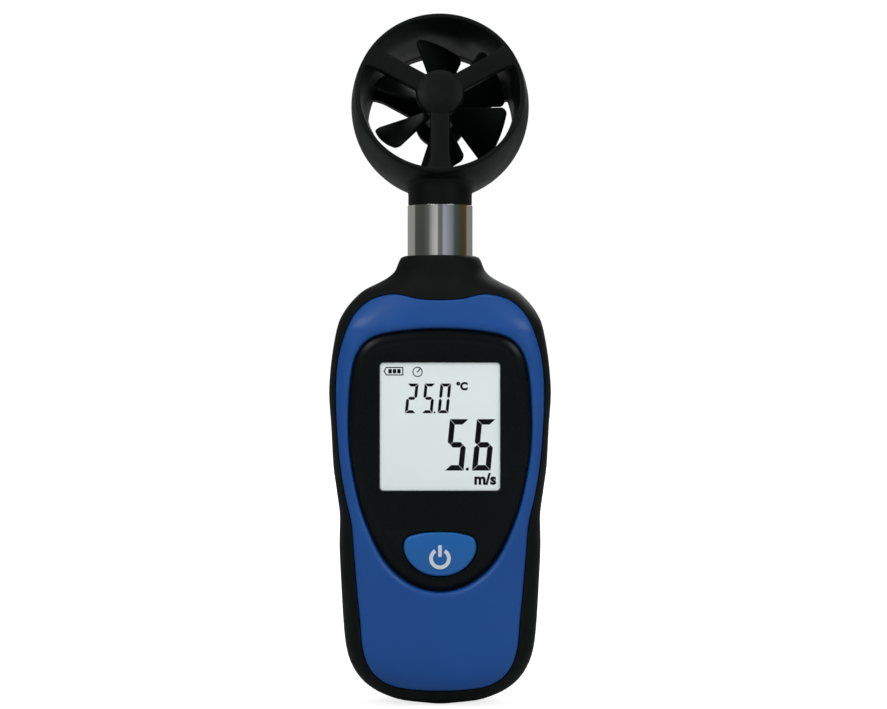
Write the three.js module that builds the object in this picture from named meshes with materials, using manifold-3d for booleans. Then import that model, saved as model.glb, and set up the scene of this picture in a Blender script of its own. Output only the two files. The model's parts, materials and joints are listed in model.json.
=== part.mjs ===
// Handheld vane anemometer: a leaning vane head on a polished neck, over a case with a display and one key.
// Millimetres, +Z up along the handle, front (display) towards -Y, +X to the right seen from the front.
// The origin is the bottom centre of the object's bounding box; the neck axis stands NECK_Y in front of it.
import * as THREE from "three";
import { mergeVertices } from "three/addons/utils/BufferGeometryUtils.js";
import Module from "manifold-3d";

const wasm = await Module();
wasm.setup();

// ---------------------------------------------------------------- driving dimensions
const GAP = 0.3; // free space between pieces that touch on the real object
const FRONT_DEPTH = 13.5; // neck axis to the front of the case
const BACK_DEPTH = 13.5; // neck axis to the crown of the case's back
const FLAT_BACK_Y = 13.2; // the flat that the crown is cut back to
const HEEL_Z = 30; // lower end of that flat, where the back turns in to the heel
const HEEL_ANGLE = THREE.MathUtils.degToRad(3.5);
const PARTING_Y = -2; // plane where the two case shells meet
const WALL = 2.2; // case shells
const COLLAR_TOP_Z = 103.4;
const SLEEVE_TOP_Z = 115.1;

const RING_RADIUS = 20.85; // vane ring, widest part
const RING_BACK_RADIUS = 18.7; // vane ring, outer edge of its back
const RING_HALF_DEPTH = 11;
const HEAD_LEAN = THREE.MathUtils.degToRad(15);
const RING_CENTRE_Z = 138.3;
const RING_CENTRE_Y = RING_RADIUS * Math.sin(HEAD_LEAN); // the ring's foot stands on the neck axis
const BORE_RADIUS = 17.2;
const BLADE_TIP_RADIUS = 15.8;
const BLADES = 6;

const SLEEVE_RADIUS = 7.55;
const SLEEVE_BORE_RADIUS = 6.5;
const SPIGOT_RADIUS = 6.2;
const STEM_RADIUS = 7.4;
const FLANGE_RADIUS = 9.5;

const CELL_RADIUS = 5.15; // AAA cell
const CELL_LENGTH = 43.6;
const CELL_NIPPLE = 0.9;
const CELL_PITCH = 10.6;
const CELL_Y = 5.75;
const PLATE = 0.4; // contact plates
const LOWER_CONTACT_Z = 9.15; // upper face of the lower plates
const UPPER_CONTACT_Z = 56.75; // lower face of the upper plates

const BUTTON_TRAVEL = 0.6;
const RING_BACK_TOP_Y =
  RING_CENTRE_Y + RING_HALF_DEPTH * Math.cos(HEAD_LEAN) + RING_BACK_RADIUS * Math.sin(HEAD_LEAN);
const NECK_Y = (FRONT_DEPTH - RING_BACK_TOP_Y) / 2; // puts the origin in the middle of the depth

const ROUND = 40; // segments of a large round piece
const SMALL_ROUND = 16;

// ---------------------------------------------------------------- materials
const paint = (color, roughness, metalness = 0) =>
  new THREE.MeshStandardMaterial({ color, roughness, metalness });
const blueShell = paint(0x1e4c96, 0.4);
const blueKey = paint(0x2f68b4, 0.35);
const blackShell = paint(0x101413, 0.45);
const blackRubber = paint(0x141716, 0.65);
const glossBlack = paint(0x0c1112, 0.2);
const polishedMetal = paint(0xc9cac8, 0.15, 1);
const steel = paint(0x9a9c9e, 0.35, 1);
const brass = paint(0xb08a3e, 0.35, 1);
const clearWindow = paint(0xe8efee, 0.05);
const displayGlass = paint(0xd6dedd, 0.3);
const whitePlastic = paint(0xe4e6e4, 0.5);
const boardGreen = paint(0x1c6b3c, 0.5);
const cellJacket = paint(0x8f9a2e, 0.4);

// ---------------------------------------------------------------- solids
function solidOf(geometry) {
  const bare = geometry.index ? geometry.toNonIndexed() : geometry.clone();
  for (const key of Object.keys(bare.attributes)) {
    if (key !== "position") bare.deleteAttribute(key);
  }
  const merged = mergeVertices(bare, 1e-4);
  return new wasm.Manifold(
    new wasm.Mesh({
      numProp: 3,
      vertProperties: merged.attributes.position.array,
      triVerts: new Uint32Array(merged.index.array),
    }),
  );
}

function geometryOf(solid) {
  const mesh = solid.getMesh();
  return new THREE.BufferGeometry()
    .setAttribute("position", new THREE.BufferAttribute(mesh.vertProperties, 3))
    .setIndex(new THREE.BufferAttribute(mesh.triVerts, 1));
}

const join = (...solids) => solids.reduce((a, b) => a.add(b));
const cut = (solid, ...tools) => tools.reduce((a, b) => a.subtract(b), solid);
const both = (a, b) => a.intersect(b);

function box(x0, x1, y0, y1, z0, z1) {
  const geometry = new THREE.BoxGeometry(x1 - x0, y1 - y0, z1 - z0);
  geometry.translate((x0 + x1) / 2, (y0 + y1) / 2, (z0 + z1) / 2);
  return solidOf(geometry);
}

// A cylinder or cone along Z, with its axis at x, y.
function post(x, y, z0, z1, radius, segments = SMALL_ROUND, topRadius = radius) {
  const geometry = new THREE.CylinderGeometry(topRadius, radius, z1 - z0, segments);
  geometry.rotateX(Math.PI / 2);
  geometry.translate(x, y, (z0 + z1) / 2);
  return solidOf(geometry);
}

// A cylinder along Y, with its axis at x, z.
function pin(x, z, y0, y1, radius, segments = SMALL_ROUND) {
  const geometry = new THREE.CylinderGeometry(radius, radius, y1 - y0, segments);
  geometry.translate(x, (y0 + y1) / 2, z);
  return solidOf(geometry);
}

// A closed [radius, height] profile turned about Y; "up" turns it about Z instead.
function turned(profile, { segments = ROUND, up = false } = {}) {
  const points = profile.map(([r, h]) => new THREE.Vector2(r, h));
  const geometry = new THREE.LatheGeometry([...points, points[0]], segments);
  if (up) geometry.rotateX(Math.PI / 2);
  const solid = solidOf(geometry);
  if (solid.volume() > 0) return solid;
  const reversed = new THREE.LatheGeometry([...points, points[0]].reverse(), segments);
  if (up) reversed.rotateX(Math.PI / 2);
  return solidOf(reversed);
}

// A front-view outline of [x, z] points, pushed through the depth from y0 to y1.
function prism(outline, y0, y1) {
  const shape = new THREE.Shape(outline.map(([x, z]) => new THREE.Vector2(x, z)));
  const geometry = new THREE.ExtrudeGeometry(shape, { depth: y1 - y0, bevelEnabled: false });
  geometry.rotateX(Math.PI / 2);
  geometry.translate(0, y1, 0);
  return solidOf(geometry);
}

// A tube of the given wire radius along a path of Vector3.
function tube(path, wireRadius, steps, sides) {
  const corners = Array.from({ length: sides }, (_, i) => {
    const angle = (2 * Math.PI * i) / sides;
    return new THREE.Vector2(wireRadius * Math.cos(angle), wireRadius * Math.sin(angle));
  });
  const section = new THREE.Shape(corners);
  const options = { steps, extrudePath: path, bevelEnabled: false };
  return solidOf(new THREE.ExtrudeGeometry(section, options));
}

// A solid through closed rings of points that all have the same count.
function loft(rings) {
  const count = rings[0].length;
  const positions = rings.flat(2);
  const middle = (ring) =>
    [0, 1, 2].map((k) => ring.reduce((sum, p) => sum + p[k], 0) / count);
  positions.push(...middle(rings[0]), ...middle(rings.at(-1)));
  const first = rings.length * count;
  const last = first + 1;
  const top = (rings.length - 1) * count;
  const index = [];
  for (let j = 0; j < count; j++) {
    const next = (j + 1) % count;
    index.push(first, next, j, last, top + j, top + next);
    for (let i = 0; i + 1 < rings.length; i++) {
      const a = i * count;
      const b = a + count;
      index.push(a + j, a + next, b + next, a + j, b + next, b + j);
    }
  }
  const geometry = new THREE.BufferGeometry()
    .setAttribute("position", new THREE.Float32BufferAttribute(positions, 3))
    .setIndex(index);
  return solidOf(geometry);
}

// ---------------------------------------------------------------- curves
// Value at t of the smooth monotone curve through [t, value] knots.
function along(knots, t) {
  const last = knots.length - 1;
  if (t <= knots[0][0]) return knots[0][1];
  if (t >= knots[last][0]) return knots[last][1];
  const slope = (i) => (knots[i + 1][1] - knots[i][1]) / (knots[i + 1][0] - knots[i][0]);
  const tangent = (i) => {
    if (i === 0) return slope(0);
    if (i === last) return slope(last - 1);
    const [before, after] = [slope(i - 1), slope(i)];
    return before * after <= 0 ? 0 : (2 * before * after) / (before + after);
  };
  const i = knots.findIndex((knot, k) => k < last && t < knots[k + 1][0]);
  const width = knots[i + 1][0] - knots[i][0];
  const s = (t - knots[i][0]) / width;
  const [a, b] = [knots[i][1], knots[i + 1][1]];
  return (
    a * (1 + 2 * s) * (1 - s) ** 2 +
    b * (3 - 2 * s) * s ** 2 +
    tangent(i) * width * s * (1 - s) ** 2 -
    tangent(i + 1) * width * (1 - s) * s ** 2
  );
}

// A closed symmetric outline through half of its [x, z] points, given from the top centre to the
// bottom centre.
function mirrored(half, samples) {
  const left = half.slice(1, -1).reverse().map(([x, z]) => [-x, z]);
  const points = [...half, ...left].map(([x, z]) => new THREE.Vector3(x, 0, z));
  const curve = new THREE.CatmullRomCurve3(points, true, "centripetal");
  const outline = curve.getSpacedPoints(samples).slice(0, samples);
  return outline.map((p) => [p.x, p.z]).reverse();
}

// The outline moved outwards by distance, or inwards where it is negative.
function grown(outline, distance) {
  return outline.map(([x, z], i) => {
    const [ax, az] = outline.at(i - 1);
    const [bx, bz] = outline[(i + 1) % outline.length];
    const length = Math.hypot(bx - ax, bz - az);
    return [x + ((bz - az) / length) * distance, z - ((bx - ax) / length) * distance];
  });
}

function roundedRectangle(halfWidth, z0, z1, radius, steps = 4) {
  const points = [];
  const corners = [
    [halfWidth - radius, z0 + radius, -90],
    [halfWidth - radius, z1 - radius, 0],
    [-halfWidth + radius, z1 - radius, 90],
    [-halfWidth + radius, z0 + radius, 180],
  ];
  for (const [x, z, start] of corners) {
    for (let i = 0; i <= steps; i++) {
      const angle = THREE.MathUtils.degToRad(start + (90 * i) / steps);
      points.push([x + radius * Math.cos(angle), z + radius * Math.sin(angle)]);
    }
  }
  return points;
}

// ---------------------------------------------------------------- case form
// Half width of the case by height, from the bottom to the collar.
const CASE_HALF_WIDTH = [
  [0, 3.4], [0.7, 9.4], [1.7, 12.4], [3.1, 15.2], [5.2, 17.8], [8, 19.8], [11.5, 21.2], [16, 22],
  [28, 22.8], [37.5, 23.2], [43, 23.1], [49, 23.8], [55, 24.6], [64, 25.1], [72, 25.6], [77, 25.3],
  [83, 24.5], [88, 23.4], [91, 21.9], [93.5, 19.9], [95.5, 17.7], [97.2, 14.4], [98.5, 12.1],
  [100, 10.5], [102.3, 9.5], [103.1, 9], [COLLAR_TOP_Z, 8.3],
];
// Front and back depth of the case by height, as a share of the full depth.
const CASE_DEPTH_SHARE = [
  [0, 0.28], [0.7, 0.43], [1.7, 0.57], [3.1, 0.7], [5.2, 0.82], [8, 0.915], [14, 0.985], [24, 1],
  [76, 1], [86, 0.97], [91, 0.9], [95, 0.81], [98.5, 0.73], [102.3, 0.7], [103.1, 0.665],
  [COLLAR_TOP_Z, 0.615],
];
// How square the case's front and back halves are by height: 2 is an ellipse.
const FRONT_SQUARENESS = [[0, 2.4], [5, 3.2], [14, 5], [86, 5], [92, 3.4], [97, 2.3], [99, 2]];
const BACK_SQUARENESS = [[0, 2.4], [5, 2.9], [14, 3.6], [84, 3.6], [92, 2.8], [97, 2.2], [99, 2]];
const SLICES = [
  0, 0.7, 1.7, 3.1, 5.2, 8, 11.5, 18, 28, 40, 52, 64, 74, 82, 87, 90.5, 93.5, 95.5, 97.2, 98.5,
  100, 102.3, 103.1, COLLAR_TOP_Z,
];

function caseSlice(z, shrink) {
  const halfWidth = Math.max(along(CASE_HALF_WIDTH, z) - shrink, 1);
  const share = along(CASE_DEPTH_SHARE, z);
  const ring = [];
  for (let i = 0; i < ROUND; i++) {
    const angle = (2 * Math.PI * i) / ROUND;
    const [c, s] = [Math.cos(angle), Math.sin(angle)];
    const front = s < 0;
    const power = 2 / along(front ? FRONT_SQUARENESS : BACK_SQUARENESS, z);
    const depth = Math.max((front ? FRONT_DEPTH : BACK_DEPTH) * share - shrink, 1);
    ring.push([
      halfWidth * Math.sign(c) * Math.abs(c) ** power,
      depth * Math.sign(s) * Math.abs(s) ** power,
      z,
    ]);
  }
  return ring;
}

// The case's outer form, or that form with its skin taken off to the given depth.
const caseForm = (shrink = 0) => loft(SLICES.map((z) => caseSlice(z, shrink)));

// Front view of the blue shell's edge and of the display frame's edge, half of each, from the top
// centre down.
const SHELL_HALF = [
  [0, 93.05], [4.8, 93.3], [10.7, 94.4], [16, 93], [19.1, 90.3], [20.8, 87.5], [22.3, 83.4],
  [23.4, 78.6], [23.8, 71.7], [23.4, 61.5], [22.5, 53.2], [21.5, 47.7], [20.2, 42.2], [19.7, 36.7],
  [18.9, 27], [18.2, 20], [17.7, 14.2], [16.5, 10], [14.6, 7.2], [11.4, 5.1], [5.5, 4], [0, 3.8],
];
const FRAME_HALF = [
  [0, 86.65], [9.4, 86.05], [15, 84.8], [17.6, 83], [19.3, 80.2], [20.3, 76], [20.9, 68.4],
  [20.9, 61.6], [20.4, 56.2], [19.4, 50.7], [18, 45], [14.8, 37.1], [12.3, 33], [9.3, 30],
  [5.3, 27.6], [0, 26.5],
];
const BUTTON_HALF = [
  [0, 40.2], [5, 39.8], [7.6, 38.8], [8.25, 37], [7.7, 34.8], [5.9, 32.4], [3.2, 30.8], [0, 30.3],
];
const shellOutline = mirrored(SHELL_HALF, 64);
const frameOutline = mirrored(FRAME_HALF, 48);
const buttonOutline = mirrored(BUTTON_HALF, 32);

// ---------------------------------------------------------------- shared places
const FRAME_FRONT_Y = -12; // flat of the display frame
const FRAME_BACK_Y = -10.2;
const WINDOW = { halfWidth: 13.7, bottom: 49.6, top: 78.75, corner: 0.8 };
const BOARD_FRONT_Y = -5.9;
const BOARD_BACK_Y = -4.3;
const BOARD_BOTTOM_Z = 24;
const BOARD_TOP_Z = 81.8;
const NECK_BLOCK_BOTTOM_Z = 82.2; // solid part of both shells that holds the sleeve
const FLANGE_BOTTOM_Z = 86;
const FLANGE_TOP_Z = 88;
const SPIGOT_BOTTOM_Z = 89;
const BAY = { halfWidth: 17, floorY: 0.3, bottom: 8.4, top: 57.5 };
const COVER = { halfWidth: 17.5, bottom: 7.4, top: 60.5, skin: 1.6 };
const HOOK = { x: 6.2, halfWidth: 2.2, front: 8.7, back: 9.5, bottom: 5.6, top: 8, neck: 7.5 };
const SWITCH_Z = 35;

const FRAME_POSTS = [[-17.4, 53], [17.4, 53], [-17.4, 79], [17.4, 79]];
const UPPER_CASE_SCREWS = [[-13, 90], [13, 90]];
const LOWER_CASE_SCREWS = [[-CELL_PITCH / 2, 15], [CELL_PITCH / 2, 15]];
const CELL_X = [-CELL_PITCH, 0, CELL_PITCH];

// ---------------------------------------------------------------- scene graph
const anemometer = new THREE.Group();
const instrument = new THREE.Group(); // everything, in coordinates about the neck axis
instrument.position.y = NECK_Y;
const leaningHead = new THREE.Group(); // coordinates about the vane ring's centre
leaningHead.position.set(0, RING_CENTRE_Y, RING_CENTRE_Z);
leaningHead.rotation.x = -HEAD_LEAN;
anemometer.add(instrument);
instrument.add(leaningHead);

function piece(name, solid, material, parent = instrument) {
  const mesh = new THREE.Mesh(geometryOf(solid), material);
  mesh.name = name;
  parent.add(mesh);
}

// ---------------------------------------------------------------- case shells
const FAR = 40; // beyond the case in every direction
const innerForm = caseForm(WALL);

// The space behind the plane that the back follows from HEEL_Z down to the bottom.
function behindHeel() {
  const space = new THREE.BoxGeometry(2 * FAR, FAR, 2 * FAR);
  space.translate(0, FAR / 2, -FAR);
  space.rotateX(-HEEL_ANGLE);
  space.translate(0, FLAT_BACK_Y, HEEL_Z);
  return solidOf(space);
}

const outerForm = cut(
  both(caseForm(), box(-FAR, FAR, -FAR, FLAT_BACK_Y, -FAR, 4 * FAR)),
  behindHeel(),
);
const frontHalf = box(-FAR, FAR, -FAR, PARTING_Y - GAP / 2, -FAR, 4 * FAR);
const backHalf = box(-FAR, FAR, PARTING_Y + GAP / 2, FAR, -FAR, 4 * FAR);
const withinShell = (inset) => prism(grown(shellOutline, -inset), -FAR, FAR);
const cavity = both(innerForm, withinShell(WALL));
const neckBlock = both(outerForm, box(-16.6, 16.6, -9.6, 10, NECK_BLOCK_BOTTOM_Z, 92.5));

// The room that the sleeve and its flange need in the neck block, with the way for the sensor lead below.
const neckRoom = join(
  post(0, 0, FLANGE_BOTTOM_Z, COLLAR_TOP_Z + 1, SLEEVE_RADIUS + GAP, ROUND),
  post(0, 0, FLANGE_BOTTOM_Z - GAP, FLANGE_TOP_Z + GAP, FLANGE_RADIUS + GAP, ROUND),
  post(0, 0, NECK_BLOCK_BOTTOM_Z - 1, FLANGE_BOTTOM_Z, 5.5, ROUND),
);

const SCREW = { shank: 1, head: 2, headHeight: 1.5 };

function frontCase() {
  const shell = cut(both(both(outerForm, withinShell(0)), frontHalf), cavity);
  const bosses = LOWER_CASE_SCREWS.map(([x, z]) => pin(x, z, -12.3, PARTING_Y - GAP / 2, 2.6));
  const holes = [...UPPER_CASE_SCREWS, ...LOWER_CASE_SCREWS].map(([x, z]) =>
    pin(x, z, -9, 0, SCREW.shank + GAP, 12),
  );
  return cut(
    join(shell, both(neckBlock, frontHalf), ...bosses),
    prism(frameOutline, -FAR, -9.9),
    neckRoom,
    ...holes,
  );
}

// The part of the back that the battery cover takes up, grown by the margin.
function coverSlab(margin) {
  const { halfWidth, bottom, top } = COVER;
  const outline = roundedRectangle(halfWidth + margin, bottom - margin, top + margin, 2);
  return both(prism(outline, 3, FAR), withinShell(1 - margin));
}

function rearCase() {
  const upperCavity = both(cavity, box(-FAR, FAR, -FAR, FAR, BAY.top + 1.5, 4 * FAR));
  const shell = cut(both(both(outerForm, withinShell(0)), backHalf), upperCavity);
  const bay = both(
    box(-BAY.halfWidth, BAY.halfWidth, BAY.floorY, FAR, BAY.bottom, BAY.top),
    withinShell(1.05),
  );
  const coverWell = cut(coverSlab(GAP), caseForm(COVER.skin + GAP));
  const hookReach = HOOK.x + HOOK.halfWidth + 0.6;
  const hookRoom = join(
    box(-hookReach, hookReach, 7, HOOK.back + GAP, HOOK.bottom - 0.4, BAY.bottom + 1),
    box(-hookReach, hookReach, 7, 11.8, HOOK.neck - GAP, BAY.bottom + 1),
  );
  const screwRoom = [
    ...UPPER_CASE_SCREWS.map(([x, z]) => pin(x, z, 8.2, FAR, SCREW.head + GAP)),
    ...LOWER_CASE_SCREWS.map(([x, z]) => pin(x, z, -0.5, 3, SCREW.head + GAP)),
    ...[...UPPER_CASE_SCREWS, ...LOWER_CASE_SCREWS].map(([x, z]) =>
      pin(x, z, -4, 9, SCREW.shank + GAP, 12),
    ),
  ];
  const solid = join(shell, both(neckBlock, backHalf));
  return cut(solid, bay, coverWell, hookRoom, neckRoom, ...screwRoom);
}

function batteryCover() {
  const panel = cut(both(outerForm, coverSlab(0)), caseForm(COVER.skin));
  const { x, halfWidth, front, back, bottom, top, neck } = HOOK;
  const hooks = [-x, x].map((centre) => {
    const [x0, x1] = [centre - halfWidth, centre + halfWidth];
    return join(box(x0, x1, front, back, bottom, top), box(x0, x1, front, 11.4, neck, top));
  });
  const thumbRecess = prism(roundedRectangle(6, 55.5, 57.6, 1), FLAT_BACK_Y - 0.7, FAR);
  return cut(join(panel, ...hooks), thumbRecess);
}

function gripFrame() {
  const sleeveHole = post(0, 0, 80, COLLAR_TOP_Z + 1, SLEEVE_RADIUS + GAP, ROUND);
  return cut(outerForm, prism(grown(shellOutline, GAP), -FAR, FAR), sleeveHole);
}

piece("front_case", frontCase(), blueShell);
piece("rear_case", rearCase(), blackShell);
piece("grip_frame", gripFrame(), blackRubber);
piece("battery_cover", batteryCover(), blackShell);

// ---------------------------------------------------------------- display and key
function displayFrame() {
  const plate = prism(grown(frameOutline, -GAP), FRAME_FRONT_Y, FRAME_BACK_Y);
  const { halfWidth, bottom, top, corner } = WINDOW;
  const posts = FRAME_POSTS.map(([x, z]) => pin(x, z, FRAME_BACK_Y - 0.5, BOARD_FRONT_Y - GAP, 1.75));
  const pilots = FRAME_POSTS.map(([x, z]) => pin(x, z, -9.4, BOARD_FRONT_Y, SCREW.shank + GAP, 12));
  return cut(
    join(plate, ...posts),
    prism(roundedRectangle(halfWidth, bottom, top, corner), -FAR, -9),
    prism(grown(buttonOutline, GAP), -FAR, -9),
    ...pilots,
  );
}

function displayLens() {
  const { halfWidth, bottom, top, corner } = WINDOW;
  const raised = roundedRectangle(halfWidth - GAP, bottom + GAP, top - GAP, corner);
  const flange = roundedRectangle(halfWidth + 1.3, bottom - 1.2, top + 1.2, corner);
  return join(prism(raised, -11.6, -9.2), prism(flange, -9.9, -9.2));
}

function mainBoard() {
  const area = both(
    prism(grown(shellOutline, -WALL - 0.8), BOARD_FRONT_Y, BOARD_BACK_Y),
    box(-FAR, FAR, -FAR, FAR, BOARD_BOTTOM_Z, BOARD_TOP_Z),
  );
  const holes = FRAME_POSTS.map(([x, z]) => pin(x, z, -FAR, FAR, SCREW.shank + GAP, 12));
  return cut(area, ...holes);
}

function powerButton() {
  const cap = prism(buttonOutline, -12.9, -10.4);
  const crown = prism(grown(buttonOutline, -0.9), -13.3, -12.6);
  const flange = prism(grown(buttonOutline, 0.9), -9.9, -9.2);
  const waist = prism(grown(buttonOutline, -0.2), -10.5, -9.5);
  return join(cap, crown, waist, flange, pin(0, SWITCH_Z, -9.5, -8.7, 1.5));
}

piece("display_frame", displayFrame(), glossBlack);
piece("display_lens", displayLens(), clearWindow);
piece("lcd_panel", box(-15.4, 15.4, -8.9, -7.2, 46.6, 81), displayGlass);
piece("lcd_backlight", box(-15, 15, -6.9, -6.2, 48, 79.5), whitePlastic);
piece("main_board", mainBoard(), boardGreen);
piece("microcontroller", box(-5, 5, -4, -2.6, 56, 66), glossBlack);
piece("sensor_connector", box(-4, 4, -4, -1.6, 72, 76.5), whitePlastic);
piece("power_button", powerButton(), blueKey);
piece(
  "switch_base",
  cut(
    box(-3, 3, -7.9, BOARD_FRONT_Y - GAP, SWITCH_Z - 3, SWITCH_Z + 3),
    pin(0, SWITCH_Z, -9, -6.4, 1.9),
  ),
  glossBlack,
);
piece("switch_stem", pin(0, SWITCH_Z, -8.4, -7.1, 1.5), whitePlastic);

// ---------------------------------------------------------------- fasteners
function screw(x, z, headBackY, length, headRadius = SCREW.head) {
  const slotDepth = 0.6;
  const headFrontY = headBackY - SCREW.headHeight;
  const body = join(
    pin(x, z, headFrontY, headBackY, headRadius, 16),
    pin(x, z, headFrontY - length, headFrontY + 0.5, SCREW.shank, 12),
  );
  const arms = [
    box(x - 1.1, x + 1.1, headBackY - slotDepth, FAR, z - 0.25, z + 0.25),
    box(x - 0.25, x + 0.25, headBackY - slotDepth, FAR, z - 1.1, z + 1.1),
  ];
  return cut(body, ...arms);
}

UPPER_CASE_SCREWS.forEach(([x, z], i) =>
  piece(`case_screw_upper_${i + 1}`, screw(x, z, 10, 13.5), steel),
);
LOWER_CASE_SCREWS.forEach(([x, z], i) =>
  piece(`case_screw_lower_${i + 1}`, screw(x, z, 1.3, 7.4), steel),
);
FRAME_POSTS.forEach(([x, z], i) =>
  piece(`board_screw_${i + 1}`, screw(x, z, BOARD_BACK_Y + GAP + SCREW.headHeight, 5, 1.8), steel),
);

// ---------------------------------------------------------------- cells and contacts
// Positive button up on the outer cells, down on the middle one.
function cell(x, flipped) {
  const [r, l] = [CELL_RADIUS, CELL_LENGTH];
  const can = turned(
    [[0, 0], [r - 0.7, 0], [r, 0.7], [r, l - 0.7], [r - 0.7, l], [1.9, l],
     [1.9, l + CELL_NIPPLE], [0, l + CELL_NIPPLE]],
    { segments: SMALL_ROUND, up: true },
  );
  const upright = flipped ? can.mirror([0, 0, 1]).translate([0, 0, l + CELL_NIPPLE]) : can;
  const foot = flipped ? LOWER_CONTACT_Z + GAP : UPPER_CONTACT_Z - GAP - l - CELL_NIPPLE;
  return upright.translate([x, CELL_Y, foot]);
}

class ConicalSpring extends THREE.Curve {
  constructor(x, z0, direction) {
    super();
    Object.assign(this, { x, z0, direction });
  }
  getPoint(t, target = new THREE.Vector3()) {
    const [turns, height, wide, narrow] = [2.5, 1.6, 3, 1.5];
    const radius = wide + (narrow - wide) * t;
    const angle = 2 * Math.PI * turns * t;
    return target.set(
      this.x + radius * Math.cos(angle),
      CELL_Y + radius * Math.sin(angle),
      this.z0 + this.direction * height * t,
    );
  }
}

function contactPlate(x, z0) {
  return box(x - 3.6, x + 3.6, CELL_Y - 4.6, CELL_Y + 2.9, z0, z0 + PLATE);
}

const SPRING_WIRE = 0.3;
CELL_X.forEach((x, i) => {
  const flipped = i === 1;
  const clear = SPRING_WIRE + GAP;
  const [start, direction] = flipped ? [UPPER_CONTACT_Z - clear, -1] : [LOWER_CONTACT_Z + clear, 1];
  const coil = tube(new ConicalSpring(x, start, direction), SPRING_WIRE, 30, 5);
  piece(`battery_${i + 1}`, cell(x, flipped), cellJacket);
  piece(`contact_spring_${i + 1}`, coil, steel);
  piece(`contact_plate_top_${i + 1}`, contactPlate(x, UPPER_CONTACT_Z), steel);
  piece(`contact_plate_bottom_${i + 1}`, contactPlate(x, LOWER_CONTACT_Z - PLATE), steel);
});

// ---------------------------------------------------------------- neck
function neckSleeve() {
  const tubeWall = [
    [SLEEVE_BORE_RADIUS, FLANGE_BOTTOM_Z], [FLANGE_RADIUS, FLANGE_BOTTOM_Z],
    [FLANGE_RADIUS, FLANGE_TOP_Z], [SLEEVE_RADIUS, FLANGE_TOP_Z],
    [SLEEVE_RADIUS, SLEEVE_TOP_Z - 0.2], [SLEEVE_RADIUS - 0.2, SLEEVE_TOP_Z],
    [SLEEVE_BORE_RADIUS, SLEEVE_TOP_Z],
  ];
  return turned(tubeWall, { up: true });
}

const LEAD_RADIUS = 1.1;
const LEAD_BORE_RADIUS = 2.6;
const LEAD_TOP_Z = 116.2;

function sensorLead() {
  const route = [[0, -0.2, 73.6], [0, -0.1, 76], [0, 0, 84], [0, 0, 100], [0, 0, LEAD_TOP_Z]];
  const path = new THREE.CatmullRomCurve3(route.map((p) => new THREE.Vector3(...p)));
  return tube(path, LEAD_RADIUS, 16, 8);
}

piece("neck_sleeve", neckSleeve(), polishedMetal);
piece("sensor_lead", sensorLead(), blackRubber);

// ---------------------------------------------------------------- vane head
// Along the ring's axis, y is negative in front of the ring's middle plane and positive behind it.
const GUARD_ARMS = [30, 150, 270]; // degrees, seen from the front
const FRONT_HUB = { radius: 5.6, armWidth: 4.5, front: -10.95, back: -8.9 };
const REAR_HUB = { radius: 5.95, armWidth: 4.5, front: 8.7, back: RING_HALF_DEPTH };
const HOOP = { inner: 17.2, outer: 17.85, seat: 18.15, front: 8.2 };

// Half width and half depth of the stem by height, as it spreads into the ring.
const STEM_SPREAD = [
  [SLEEVE_TOP_Z + GAP, STEM_RADIUS, STEM_RADIUS], [117.2, STEM_RADIUS, STEM_RADIUS], [118.2, 7.7, 7.4],
  [119.2, 8.3, 7.5], [120.2, 9.2, 7.7], [124, 11, 8],
];

// The ring's flared mouth, from its front edge in to the bore.
const MOUTH = [[18.5, -RING_HALF_DEPTH], [18, -8.5], [17.5, -6], [BORE_RADIUS, -3.5]];

function ringProfile() {
  const outerWall = [
    [19.5, -RING_HALF_DEPTH], [20.25, -7.5], [20.75, -3.5], [RING_RADIUS, 0], [20.6, 4], [19.7, 7.8],
    [RING_BACK_RADIUS, RING_HALF_DEPTH],
  ];
  const hoopSeat = [
    [HOOP.seat, RING_HALF_DEPTH], [HOOP.seat, HOOP.front - GAP], [BORE_RADIUS, HOOP.front - GAP],
  ];
  return [...outerWall, ...hoopSeat, ...MOUTH.toReversed()];
}

// Three arms and a hub between two planes across the ring's axis.
function spider({ radius, armWidth, front, back }, reach) {
  const arms = GUARD_ARMS.map((degrees) => {
    const bar = new THREE.BoxGeometry(reach, back - front, armWidth);
    bar.translate(reach / 2, (front + back) / 2, 0);
    bar.rotateY(-THREE.MathUtils.degToRad(degrees));
    return solidOf(bar);
  });
  return join(pin(0, 0, front, back, radius, 32), ...arms);
}

// A solid made in the instrument's upright coordinates, moved into those of the leaning head.
function asHeadPart(solid) {
  leaningHead.updateMatrix();
  const inverse = leaningHead.matrix.clone().invert();
  return solidOf(geometryOf(solid).applyMatrix4(inverse));
}

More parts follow.
